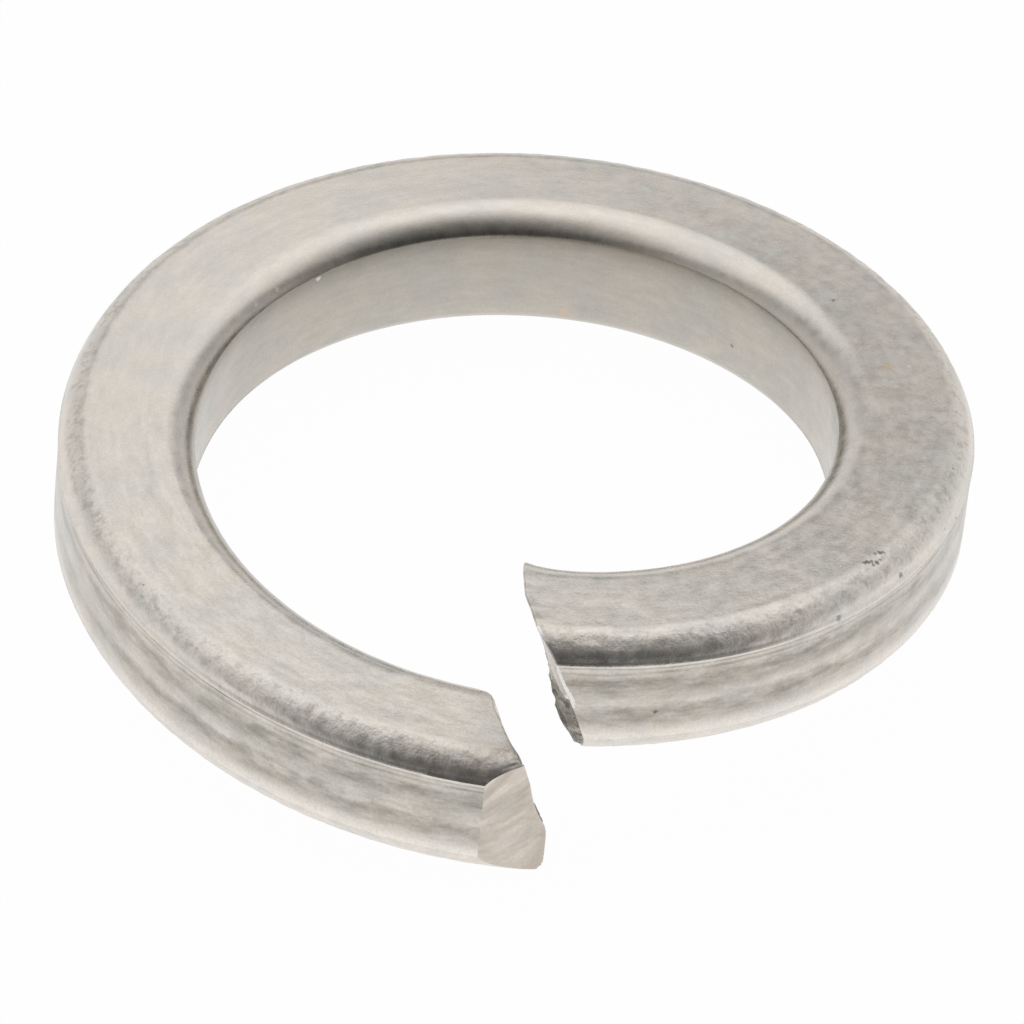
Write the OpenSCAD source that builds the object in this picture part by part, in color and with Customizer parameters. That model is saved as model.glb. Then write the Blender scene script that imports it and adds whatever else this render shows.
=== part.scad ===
// Split spring lock washer for a 12 mm bolt.
// One length of four-sided wire, coiled a single turn round the bolt like a left-hand screw
// thread and cut through at an angle, so that one end springs up above the other.
// The bore axis is Z, the underside of the low end is at Z 0, and the split faces -Y.
// Sizes are in millimetres and angles in degrees.

/* [Ring] */
// Diameter of the hole that goes over the bolt
bore_d = 12.4; // [12.2:0.1:14]
// Width of the wire, from the bore to the outside of the ring
wire_w = 2.6; // [2.2:0.1:3.4]
// Thickness of the wire, from its underside to its top face
wire_t = 2.7; // [2.2:0.1:3.4]
// Height that the wire climbs in one full turn
rise = 3; // [2.4:0.1:4.4]

/* [Corners of the wire] */
// Width of the rounded outer corners, seen from above
outer_corner_w = 0.48; // [0.3:0.02:0.7]
// Height of the rounded outer corners
outer_corner_h = 0.5; // [0.3:0.02:0.7]
// Width of the rounded inner corners, seen from above
inner_corner_w = 0.58; // [0.3:0.02:0.7]
// Height of the rounded inner corners
inner_corner_h = 0.44; // [0.3:0.02:0.7]
// Sharpness of the crease where a corner meets a wall: 0 blends in, 40 is a plain edge
crease = 24; // [5:1:40]
// Sharpness of the faint crease where a corner meets the top face or the underside
face_crease = 11; // [0:1:20]

/* [Cut ends] */
// Clear space between the two ends at the middle of the wire
gap = 0.3; // [0.2:0.05:1.5]
// Turn of the low end's cut away from a line to the centre, seen from above
low_skew = 13; // [0:1:28]
// Turn of the high end's cut away from a line to the centre, seen from above
high_skew = 5; // [0:1:28]
// Lean of both cuts away from upright, so that the high end overhangs the low one
cut_lean = 19.5; // [5:0.5:24]
// Height above the low end's underside below which its thin lip is broken off upright
lip_h = 1; // [0.2:0.1:1.6]

/* [Blade mark on the low end] */
// Length of the flat that the blade pressed into the outer corner, along the wall
mark_l = 1.25; // [0.6:0.05:2]
// Depth of the flat where it meets the cut, measured in from the wall
mark_d = 0.4; // [0.2:0.05:0.6]

/* [Hidden] */

bore_r = bore_d / 2;
outer_r = bore_r + wire_w;
mid_r = bore_r + wire_w / 2;
mid_h = wire_t / 2;

// Steps of the coil in one turn, and of each rounded corner
coil_steps = 96;
corner_steps = 4;
// The coiled blank is this much too wide on both sides, and true cylinders trim it to its walls
trim = 0.1;
// Room that a cutting block has past the metal on each side, and above the low end's top face
block_room = 2;
block_lift = 0.2;

// Height of the coil's underside at a turn, counted clockwise from the middle of the split
function coil_h(turn) = rise * (turn - lowest_turn) / 360;

// A point of the coil: turn 0 is at -Y, 90 at -X, 180 at +Y and 270 at +X
function coil_point(r, h, turn) = [-r * sin(turn), -r * cos(turn), coil_h(turn) + h];

// Distance to +X by which a cut passes the middle of the wire, at one point of the section
function cut_shift(r, h, skew) = tan(skew) * (r - mid_r) - tan(cut_lean) * (h - mid_h);

// Turn at which each cut passes through one point of the section
function low_turn(r, h) = asin((gap / 2 - cut_shift(r, h, low_skew)) / r);
function high_turn(r, h) = 360 - asin((gap / 2 + cut_shift(r, h, high_skew)) / r);
// The underside reaches furthest down at the broken lip, where the outer corner begins
lowest_turn = low_turn(outer_r - outer_corner_w, lip_h);

// Share of a rounded corner's width and height reached at one step, from the wall to the flat
function corner_angle(step) = crease + (90 - face_crease - crease) * step / corner_steps;
function corner_in(step) = (cos(crease) - cos(corner_angle(step))) / (cos(crease) - sin(face_crease));
function corner_up(step) = (sin(corner_angle(step)) - sin(crease)) / (cos(face_crease) - sin(crease));

// One corner of the section as [radius, height] points, from beyond the wall on to the flat. Its
// first side runs straight through the crease, so no point of it lies on the wall itself.
// side is 1 at the outer wall and -1 at the bore; up is 1 at the top face and -1 underneath.
function corner(side, up, w, h) =
    let (wall_r = side > 0 ? outer_r : bore_r, face_h = up > 0 ? wire_t : 0)
    let (run_out = h * corner_up(1) * trim / (w * corner_in(1)))
    concat(
        [[wall_r + side * trim, face_h - up * min(h + run_out, mid_h)]],
        [for (step = [1:corner_steps])
            [wall_r - side * w * corner_in(step), face_h - up * h * (1 - corner_up(step))]]);

function reversed(points) = [for (i = [len(points) - 1:-1:0]) points[i]];

// The whole section, anticlockwise with the bore on the left
section = concat(
    corner(1, 1, outer_corner_w, outer_corner_h),
    reversed(corner(-1, 1, inner_corner_w, inner_corner_h)),
    corner(-1, -1, inner_corner_w, inner_corner_h),
    reversed(corner(1, -1, outer_corner_w, outer_corner_h)));

// The wire, coiled from its low cut to its high cut
module coiled_blank() {
    count = len(section);
    points = [for (i = [0:coil_steps], p = section)
        let (start = low_turn(p[0], p[1]), end = high_turn(p[0], p[1]))
        coil_point(p[0], p[1], start + (end - start) * i / coil_steps)];
    sides = [for (i = [0:coil_steps - 1], j = [0:count - 1])
        let (a = i * count + j, b = i * count + (j + 1) % count)
        each [[a, a + count, b], [b, a + count, b + count]]];
    low_face = [for (j = [0:count - 1]) j];
    high_face = [for (j = [count - 1:-1:0]) coil_steps * count + j];
    polyhedron(points, concat([low_face, high_face], sides), convexity = 6);
}

// Block that takes the blade mark off the low end's outer corner. Its face is upright, and runs
// from the wall, where the mark starts, to the mark's full depth at the cut.
module mark_block() {
    cut = low_turn(outer_r, mid_h);
    start = coil_point(outer_r, mid_h, cut + mark_l / outer_r * 180 / PI);
    end = coil_point(outer_r - mark_d, mid_h, cut);
    run = norm([end[0] - start[0], end[1] - start[1]]);
    past_cut = tan(cut_lean) * mid_h + tan(low_skew) * mark_d;
    height = block_room + wire_t + block_lift;
    translate([start[0], start[1], -block_room])
        rotate([0, 0, atan2(end[1] - start[1], end[0] - start[0])])
            translate([-block_room, -block_room, 0])
                cube([block_room + run + past_cut, block_room, height]);
}

// Block that takes off the low end's lip. Its face is upright and turned as the cut is, and over
// the lip it stands in the clear space of the split.
module lip_block() {
    face_x = cut_shift(mid_r, lip_h, low_skew) - gap / 2;
    side = wire_w + 2 * block_room;
    translate([face_x, -mid_r, -block_room])
        rotate([0, 0, low_skew])
            translate([0, -side / 2, 0])
                cube([block_room, side, block_room + wire_t]);
}

module lock_washer() {
    height = rise + wire_t;
    color("#c9c4bc")
        difference() {
            intersection() {
                coiled_blank();
                translate([0, 0, -block_room])
                    cylinder(h = height + 2 * block_room, r = outer_r, $fn = 180);
            }
            translate([0, 0, -block_room])
                cylinder(h = height + 2 * block_room, r = bore_r, $fn = 180);
            mark_block();
            lip_block();
        }
}

lock_washer();
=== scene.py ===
"""Looks of the spring lock washer: one coiled length of four-sided steel wire, left unplated.

The washer is drawn as a fine mesh of the CAD solid's own form, with the marks of drawing,
coiling, shearing and tumbling on it, and with painted shade and highlight in its colour. Sizes
are in millimetres unless a name says otherwise, and turns are in degrees clockwise from the
middle of the split, as seen from above.
"""

import logging
import math
from dataclasses import dataclass, field, replace
from enum import Enum
from functools import reduce

import bpy
import numpy as np
from mathutils import Matrix, Vector

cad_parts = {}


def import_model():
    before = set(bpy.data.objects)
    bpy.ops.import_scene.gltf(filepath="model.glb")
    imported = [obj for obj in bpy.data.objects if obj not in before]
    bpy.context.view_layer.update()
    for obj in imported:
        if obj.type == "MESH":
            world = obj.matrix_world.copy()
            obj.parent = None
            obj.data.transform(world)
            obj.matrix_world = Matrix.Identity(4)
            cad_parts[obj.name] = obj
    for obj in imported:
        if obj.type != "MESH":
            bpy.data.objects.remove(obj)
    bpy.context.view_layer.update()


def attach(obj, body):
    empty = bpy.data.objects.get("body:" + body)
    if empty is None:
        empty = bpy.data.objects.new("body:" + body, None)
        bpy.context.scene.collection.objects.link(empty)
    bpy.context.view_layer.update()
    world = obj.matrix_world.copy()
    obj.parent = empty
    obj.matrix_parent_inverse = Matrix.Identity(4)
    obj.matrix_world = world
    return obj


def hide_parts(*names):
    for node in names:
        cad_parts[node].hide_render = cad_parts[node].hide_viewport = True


LOG = logging.getLogger("lock_washer")
METRES = 0.001
# Width and height of the photograph in pixels
PHOTO_SIDE = 1024
# Millimetres of wire to one unit of the map
MAP_MM = 10.0
# Distance round the section, by which the bands of wear are laid out
PERIMETER = 9.5
# Distance along the wire from either cut to its middle
HALF_COIL = 23.5
# Span that the values of a noise mostly keep to
NOISE_SPAN = (0.3, 0.7)
# Length that keeps a division off zero
TINY = 1e-9
# Numbers of a mix node's sockets for colours, which share their names with its other sockets
MIX_FIRST, MIX_SECOND, MIX_RESULT = 6, 7, 2

Span = tuple[float, float]
Curve = tuple[float, ...]
Triple = tuple[float, float, float]
Number = float | np.ndarray
Socket = bpy.types.NodeSocket

# Brightness of the bands by distance round the section, from the foot of the outer wall: worn bands
# on the outer wall, a lighter outer top corner, a painted highlight on the inner top corner near
# 4.1, painted shade down the inner wall from 4.45, and a painted reflection of the white floor,
# lighter towards the foot of the outer wall and round the underside
WEAR_AND_SHADE_BANDS = (
    (0.0, 1.36),
    (0.1, 1.28),
    (0.2, 1.1),
    (0.32, 0.9),
    (0.42, 0.76),
    (0.56, 0.72),
    (0.68, 0.8),
    (0.78, 0.94),
    (0.9, 0.96),
    (1.0, 0.84),
    (1.16, 0.68),
    (1.34, 0.7),
    (1.48, 0.94),
    (1.53, 0.64),
    (1.56, 1.02),
    (1.59, 1.06),
    (1.625, 0.62),
    (1.66, 1.16),
    (1.74, 1.16),
    (2.28, 1.22),
    (2.5, 1.0),
    (3.9, 1.0),
    (4.1, 1.08),
    (4.3, 1.0),
    (4.45, 0.84),
    (4.6, 0.74),
    (4.74, 0.48),
    (4.86, 0.54),
    (5.0, 0.64),
    (5.3, 0.75),
    (6.4, 0.84),
    (9.0, 1.2),
)


class Zone(Enum):
    """Stretches of the wire's section, in the order in which the outline passes them."""

    OUTER_WALL = 0
    OUTER_TOP = 1
    TOP = 2
    INNER_TOP = 3
    INNER_WALL = 4
    INNER_BOTTOM = 5
    BOTTOM = 6
    OUTER_BOTTOM = 7


class End(Enum):
    """The wire's two cut ends."""

    LOW = 0
    HIGH = 1


class Finish(Enum):
    """Finishes of the one piece, numbered as its mesh faces name them."""

    TUMBLED = 0
    SHEARED = 1
    # Rubbed bright, with a painted highlight in its near-white colour
    BURNISHED = 2
    FRACTURED = 3


class Seed(Enum):
    """Numbers that fix the random patterns of the surface. The cuts add the end's own number."""

    GRAIN = 3
    SWELL = 4
    LINES = 5
    RIDGES = 6
    LUMPS = 11
    CRUMBS = 13


def smooth_step(low: float, high: float, value: np.ndarray) -> np.ndarray:
    """0 below low, 1 above high, and an even blend between."""
    t = np.clip((value - low) / (high - low), 0.0, 1.0)
    return t * t * (3 - 2 * t)


def lattice_noise(points: np.ndarray, cell: Curve, seed: int) -> np.ndarray:
    """Smooth random heights over a plane or in space.

    Args:
        points: One row per place, with one column per direction.
        cell: Size of the lattice's cells in each direction.
        seed: Number that fixes the pattern.

    Returns:
        One value from about -1 to 1 for each place.
    """
    scaled = points / np.array(cell)
    base = np.floor(scaled).astype(np.int64)
    part = scaled - base
    part = part * part * (3 - 2 * part)
    base = base - base.min(axis=0)
    lattice = np.random.default_rng(seed).uniform(-1, 1, tuple(base.max(axis=0) + 2))
    total = np.zeros(len(points))
    for corner in np.ndindex(*(2,) * points.shape[1]):
        weight = np.ones(len(points))
        for axis, step in enumerate(corner):
            weight *= part[:, axis] if step else 1 - part[:, axis]
        total += weight * lattice[tuple((base + np.array(corner)).T)]
    return total


@dataclass(frozen=True)
class Ring:
    """Sizes of the coil, the same as the solid's, and how far it is out of round."""

    bore_r: float = 6.2
    outer_r: float = 8.8
    thickness: float = 2.7
    rise: float = 3.0
    outer_corner: Span = (0.48, 0.5)
    inner_corner: Span = (0.58, 0.44)
    crease: float = 24.0
    face_crease: float = 11.0
    oval_sin: float = -0.032
    oval_cos: float = 0.116

    @property
    def mid_r(self) -> float:
        """Radius of the wire's middle."""
        return (self.bore_r + self.outer_r) / 2

    @property
    def mid_h(self) -> float:
        """Height of the wire's middle above its underside."""
        return self.thickness / 2


@dataclass(frozen=True)
class Cuts:
    """The oblique shear that parts the two ends, and what it left on them.

    A curve of radii or heights is followed by its distances along the wire, and a span of heights
    is where its part fades in.
    """

    ring: Ring = Ring()
    # The shear, the low end's broken lip and its blade mark, the same as the solid's
    gap: float = 0.3
    low_skew: float = 13.0
    high_skew: float = 5.0
    lean: float = 19.5
    lip_h: float = 1.0
    mark_l: float = 1.25
    mark_d: float = 0.4
    # How far the low end's sheared part stands back, and the line of its top edge
    low_back: float = 0.1
    low_back_h: Span = (0.75, 1.45)
    low_crown_r: Curve = (6.2, 6.55, 6.75, 6.95, 7.1, 8.0, 8.35, 8.8)
    low_crown: Curve = (0.0, 0.03, 0.065, 0.025, 0.0, 0.0, 0.05, 0.05)
    low_crown_h: Span = (1.6, 2.2)
    # Width and length of the low end's worn inner top corner, and its rounded foot
    low_round: Span = (0.36, 0.6)
    low_round_r: float = 6.72
    low_round_h: Span = (1.7, 2.4)
    foot_round: float = 0.22
    # Bulge of the high end's face, and how it rolls back towards the outer wall
    bulge_h: Curve = (0.0, 0.17, 0.34, 0.5, 0.7, 0.93, 1.12, 1.28, 1.5, 1.75, 2.0, 2.4, 2.7)
    bulge: Curve = (
        0.1, 0.18, 0.22, 0.26, 0.25, 0.23, 0.21, 0.195, 0.175, 0.165, 0.15, 0.145, 0.165
    )
    wall_over: float = 0.034
    wall_over_h: Span = (1.1, 1.8)
    roll_w: float = 0.48
    roll_power: float = 1.4
    # Line of the high end's top edge, and of its foot
    crown_r: Curve = (6.2, 6.45, 6.7, 7.0, 7.4, 7.8, 8.2, 8.8)
    crown: Curve = (-0.04, -0.045, -0.03, 0.0, 0.045, 0.005, -0.01, 0.0)
    crown_h: Span = (2.2, 2.6)
    foot_r: Curve = (6.2, 6.7, 7.1, 7.3, 7.45, 7.6, 7.8, 8.1, 8.3, 8.5, 8.8)
    foot: Curve = (
        -0.03, -0.029, -0.024, -0.022, -0.017, -0.01, -0.003, 0.04, 0.028, -0.024, -0.025
    )
    foot_h: Span = (1.3, 1.8)
    # Inner tip of the high end, curled in towards the hole
    curl: float = 0.2
    curl_l: float = 0.5
    curl_w: float = 0.9
    curl_h: Span = (1.5, 2.3)

    def shift(self, r: Number, h: Number, skew: float) -> Number:
        """Distance to +X by which a cut passes the middle of the wire.

        Args:
            r: Radii of the places.
            h: Their heights above the wire's underside.
            skew: The cut's turn away from a line to the centre.

        Returns:
            One distance for each place.
        """
        out = math.tan(math.radians(skew)) * (r - self.ring.mid_r)
        return out - math.tan(math.radians(self.lean)) * (h - self.ring.mid_h)

    def low_turn(self, r: np.ndarray, h: np.ndarray) -> np.ndarray:
        """Turn at which the low end's cut passes a place of the section.

        Args:
            r: Radii of the places.
            h: Their heights above the wire's underside.

        Returns:
            One turn for each place.
        """
        held = np.maximum(h, self.lip_h)
        turn = np.degrees(np.arcsin((self.gap / 2 - self.shift(r, held, self.low_skew)) / r))
        wide, long = self.low_round
        inward = np.clip((self.low_round_r - r) / wide, 0.0, 1.0)
        back = long * (1 - np.sqrt(1 - inward**2)) * smooth_step(*self.low_round_h, h)
        back = back + self.low_back * smooth_step(*self.low_back_h, h)
        crown = np.interp(r, self.low_crown_r, self.low_crown)
        back = back - crown * smooth_step(*self.low_crown_h, h)
        under = np.clip(self.foot_round - h, 0.0, self.foot_round)
        back = back + self.foot_round - np.sqrt(self.foot_round**2 - under**2)
        return turn + np.degrees(back / r)

    def high_turn(self, r: np.ndarray, h: np.ndarray) -> np.ndarray:
        """Turn at which the high end's cut passes a place of the section.

        Args:
            r: Radii of the places.
            h: Their heights above the wire's underside.

        Returns:
            One turn for each place.
        """
        shift = self.shift(r, h, self.high_skew)
        turn = 360 - np.degrees(np.arcsin((self.gap / 2 + shift) / r))
        bulge = np.interp(h, self.bulge_h, self.bulge)
        wall = self.wall_over * smooth_step(*self.wall_over_h, h)
        depth = np.clip((r - self.ring.outer_r + self.roll_w) / self.roll_w, 0.0, 1.0)
        over = bulge + (wall - bulge) * depth**self.roll_power
        over = over + np.interp(r, self.crown_r, self.crown) * smooth_step(*self.crown_h, h)
        over = over + np.interp(r, self.foot_r, self.foot) * (1 - smooth_step(*self.foot_h, h))
        return turn + np.degrees(over / r)

    def mark_turns(self) -> Span:
        """Turns that the blade mark's flat spans.

        Returns:
            The turn where it meets the cut, and the turn where it runs out into the wall.
        """
        outer_r = self.ring.outer_r
        shift = self.shift(outer_r, self.ring.mid_h, self.low_skew)
        cut = math.degrees(math.asin((self.gap / 2 - shift) / outer_r))
        return cut, cut + math.degrees(self.mark_l / outer_r)

    def mark_radius(self, turn: np.ndarray) -> np.ndarray:
        """Radius of the blade mark's flat, or of the outer wall past its start.

        Args:
            turn: Turns of the places.

        Returns:
            One radius for each place.
        """
        cut, start = self.mark_turns()
        near, far = self.ring.outer_r - self.mark_d, self.ring.outer_r
        run = near * far * math.sin(math.radians(start - cut))
        across = near * np.sin(np.radians(turn - cut)) + far * np.sin(np.radians(start - turn))
        return np.where(turn < start, run / across, far)


@dataclass
class Section:
    """The wire's outline as a closed loop of places, from the foot of the outer wall and up."""

    ring: Ring
    counts: dict[Zone, int] = field(
        default_factory=lambda: {
            Zone.OUTER_WALL: 30,
            Zone.OUTER_TOP: 17,
            Zone.TOP: 16,
            Zone.INNER_TOP: 15,
            Zone.INNER_WALL: 11,
            Zone.INNER_BOTTOM: 5,
            Zone.BOTTOM: 5,
            Zone.OUTER_BOTTOM: 8,
        }
    )
    # How the outer wall's places crowd towards its top, where the ridge lines are
    crowding: float = 1.8

    def __post_init__(self) -> None:
        """Works out the loop once."""
        shares, zones = [], []
        for zone in Zone:
            count = self.counts[zone]
            share = np.arange(count) / count
            crowded = zone is Zone.OUTER_WALL
            shares.append(1 - (1 - share) ** self.crowding if crowded else share)
            zones.append(np.full(count, zone.value))
        self.share = np.concatenate(shares)
        self.zone = np.concatenate(zones)
        self.r, self.h = self.places(np.full(len(self.share), self.ring.outer_r))
        step = np.hypot(np.diff(self.r, append=self.r[0]), np.diff(self.h, append=self.h[0]))
        self.across = np.concatenate([[0.0], np.cumsum(step)])

    def corner(
        self, share: np.ndarray, size: Span, first: np.ndarray
    ) -> tuple[np.ndarray, np.ndarray]:
        """Places on a rounded corner.

        Args:
            share: 0 at the wall and 1 at the flat face.
            size: Width and height of the corner.
            first: Angle at which the corner starts, in degrees; the crease's own or more.

        Returns:
            Distance in from the wall, and distance short of the flat face.
        """
        crease, last = math.radians(self.ring.crease), 90 - self.ring.face_crease
        end = math.radians(last)
        angle = np.radians(first + (last - first) * share)
        inward = size[0] * (math.cos(crease) - np.cos(angle)) / (math.cos(crease) - math.cos(end))
        short = size[1] * (math.sin(end) - np.sin(angle)) / (math.sin(end) - math.sin(crease))
        return inward, short

    def places(self, wall_r: np.ndarray) -> tuple[np.ndarray, np.ndarray]:
        """The loop's radii and heights where the outer wall is cut back to a radius.

        Args:
            wall_r: Radius of the outer wall, for each place of the loop.

        Returns:
            Radii and heights, one of each for each place.
        """
        ring, share, zone = self.ring, self.share, self.zone
        wide = ring.outer_corner[0]
        crease_cos = math.cos(math.radians(ring.crease))
        face_cos = math.sin(math.radians(ring.face_crease))
        cut_cos = crease_cos - (ring.outer_r - wall_r) / wide * (crease_cos - face_cos)
        first = np.degrees(np.arccos(np.clip(cut_cos, face_cos, 1.0)))
        _, foot = self.corner(np.zeros_like(share), ring.outer_corner, first)
        head = ring.thickness - foot
        in_up, short_up = self.corner(share, ring.outer_corner, first)
        in_down, short_down = self.corner(1 - share, ring.outer_corner, first)
        plain = np.full_like(share, ring.crease)
        bore_up, bore_short_up = self.corner(1 - share, ring.inner_corner, plain)
        bore_down, bore_short_down = self.corner(share, ring.inner_corner, plain)
        top_from, top_to = ring.outer_r - wide, ring.bore_r + ring.inner_corner[0]
        inner_foot = ring.inner_corner[1]
        inner_head = ring.thickness - inner_foot
        picks = {
            Zone.OUTER_WALL: (wall_r, foot + (head - foot) * share),
            Zone.OUTER_TOP: (ring.outer_r - in_up, ring.thickness - short_up),
            Zone.TOP: (top_from + (top_to - top_from) * share, ring.thickness + 0 * share),
            Zone.INNER_TOP: (ring.bore_r + bore_up, ring.thickness - bore_short_up),
            Zone.INNER_WALL: (
                ring.bore_r + 0 * share,
                inner_head + (inner_foot - inner_head) * share,
            ),
            Zone.INNER_BOTTOM: (ring.bore_r + bore_down, bore_short_down),
            Zone.BOTTOM: (top_to + (top_from - top_to) * share, 0 * share),
            Zone.OUTER_BOTTOM: (ring.outer_r - in_down, short_down),
        }
        r, h = np.zeros_like(share), np.zeros_like(share)
        for kind, (radii, heights) in picks.items():
            own = zone == kind.value
            r[own], h[own] = radii[own], heights[own]
        return r, h


@dataclass(frozen=True)
class Relief:
    """Fine relief of the steel, on the wire's sides and on the torn part of its cuts."""

    # Cells of the side's noises along and round the wire, and their heights
    grain_cell: Span = (0.13, 0.11)
    grain_h: float = 0.0008
    swell_cell: Span = (1.1, 0.5)
    swell_h: float = 0.003
    line_cell: Span = (5.0, 0.11)
    line_h: float = 0.004
    # Battering of the outer corners, and the distance from their crease at which it fades in
    batter_h: float = 0.006
    batter_from: Span = (0.03, 0.2)
    # Ridge lines: distance below the outer top crease, half width and height of each
    ridges: tuple[Triple, ...] = (
        (0.0, 0.05, 0.016),
        (0.115, 0.035, -0.012),
        (0.19, 0.035, 0.008),
    )
    ridge_cell: Curve = (1.7,)
    ridge_swing: float = 0.5
    ridge_in: float = 0.02
    # Cells of the torn steel's noises across and up the cut, their heights, and where it ends
    lump_cell: Span = (0.19, 0.15)
    lump_h: float = 0.035
    crumb_cell: Span = (0.07, 0.06)
    crumb_h: float = 0.02
    torn_h: Span = (1.2, 1.7)
    # Distance from the low cut's outline at which its torn steel fades in
    low_edge: Span = (0.05, 0.35)
    low_edge_r: float = 8.4
    # Radii at which the high cut's crumbs fade in
    crumbs_r: Span = (7.3, 8.0)

    def side(self, section: Section, along: np.ndarray, r: np.ndarray) -> np.ndarray:
        """Height of the marks of drawing and tumbling above the plain side.

        Args:
            section: The wire's outline.
            along: Distance along the wire of every place.
            r: Radii of every place.

        Returns:
            Distance outwards at every place.
        """
        across = np.broadcast_to(section.across[:-1], along.shape)
        zone = np.broadcast_to(section.zone, along.shape)
        flat = np.stack([along.ravel(), across.ravel()], axis=1)
        grain, swell, lines = (
            lattice_noise(flat, cell, seed.value).reshape(along.shape)
            for cell, seed in (
                (self.grain_cell, Seed.GRAIN),
                (self.swell_cell, Seed.SWELL),
                (self.line_cell, Seed.LINES),
            )
        )
        walls = (Zone.OUTER_WALL.value, Zone.INNER_WALL.value)
        corners = (Zone.OUTER_TOP.value, Zone.OUTER_BOTTOM.value)
        head = section.across[section.counts[Zone.OUTER_WALL]]
        battered = grain * smooth_step(*self.batter_from, np.abs(across - head))
        out = self.grain_h * grain + self.swell_h * swell
        out += np.where(np.isin(zone, walls), self.line_h * lines, 0.0)
        out += np.where(np.isin(zone, corners), self.batter_h * battered, 0.0)
        down = head - across
        ridged = sum(
            height * np.exp(-(((down - place) / half) ** 2)) for place, half, height in self.ridges
        )
        uneven = lattice_noise(along.reshape(-1, 1), self.ridge_cell, Seed.RIDGES.value)
        ridged = ridged * (1 + self.ridge_swing * uneven.reshape(along.shape))
        inset = r - section.ring.outer_r + self.ridge_in
        return out + ridged * smooth_step(0.0, self.ridge_in, inset)

    def cut(self, ring: Ring, r: np.ndarray, h: np.ndarray, end: End) -> np.ndarray:
        """Depth of the torn steel on a cut face.

        Args:
            ring: Sizes of the coil.
            r: Radii of the places.
            h: Their heights above the wire's underside.
            end: The end that is cut.

        Returns:
            Distance along the wire for each place.
        """
        flat = np.stack([r, h], axis=1)
        lumps = lattice_noise(flat, self.lump_cell, Seed.LUMPS.value + end.value)
        crumbs = lattice_noise(flat, self.crumb_cell, Seed.CRUMBS.value + end.value)
        torn = 1 - smooth_step(*self.torn_h, h)
        if end is End.LOW:
            inside = np.minimum(np.minimum(r - ring.bore_r, self.low_edge_r - r), h)
            torn = torn * smooth_step(*self.low_edge, inside)
        else:
            crumbs = crumbs * smooth_step(*self.crumbs_r, r)
        return torn * (self.lump_h * lumps + self.crumb_h * crumbs)


@dataclass
class Skin:
    """A mesh's places, faces, finishes and map, as they are gathered."""

    places: list[np.ndarray] = field(default_factory=list)
    count: int = 0
    faces: list[tuple[int, ...]] = field(default_factory=list)
    finishes: list[int] = field(default_factory=list)
    maps: list[Span] = field(default_factory=list)

    def add_places(self, places: np.ndarray) -> int:
        """Adds a block of places.

        Args:
            places: One row of X, Y and Z for each.

        Returns:
            Number of the first of them.
        """
        first = self.count
        self.places.append(places)
        self.count += len(places)
        return first

    def add_face(self, corners: list[tuple[int, float, float]], finish: Finish) -> None:
        """Adds a face.

        Args:
            corners: Number of each corner's place, and its place on the map in millimetres.
            finish: Finish of the face.
        """
        self.faces.append(tuple(number for number, _, _ in corners))
        self.finishes.append(finish.value)
        self.maps += [(x, y) for _, x, y in corners]

    def build(self, name: str, sharp_angle: float) -> bpy.types.Object:
        """Makes the mesh object.

        Args:
            name: Name of the mesh and of the object.
            sharp_angle: Angle between faces above which their edge stays sharp.

        Returns:
            The object, in the scene.
        """
        mesh = bpy.data.meshes.new(name)
        mesh.from_pydata((np.concatenate(self.places) * METRES).tolist(), [], self.faces)
        mesh.polygons.foreach_set("material_index", np.array(self.finishes, dtype=np.int32))
        mesh.polygons.foreach_set("use_smooth", np.ones(len(self.faces), dtype=bool))
        layer = mesh.uv_layers.new(name="wire")
        layer.data.foreach_set("uv", np.array(self.maps, dtype=np.float32).ravel() / MAP_MM)
        mesh.set_sharp_from_angle(angle=math.radians(sharp_angle))
        mesh.update()
        made = bpy.data.objects.new(name, mesh)
        bpy.context.scene.collection.objects.link(made)
        return made


class Stain(Enum):
    """Colours of the small marks on the steel."""

    DARK = (0.1, 0.09, 0.08)
    TAN = (0.72, 0.52, 0.32)
    PALE = (0.9, 0.88, 0.84)


@dataclass(frozen=True)
class Mark:
    """A small mark on the steel, at a turn, a radius and a height above the wire's underside."""

    turn: float
    r: float
    h: float
    size: float
    stain: Stain
    strength: float = 0.8


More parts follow.
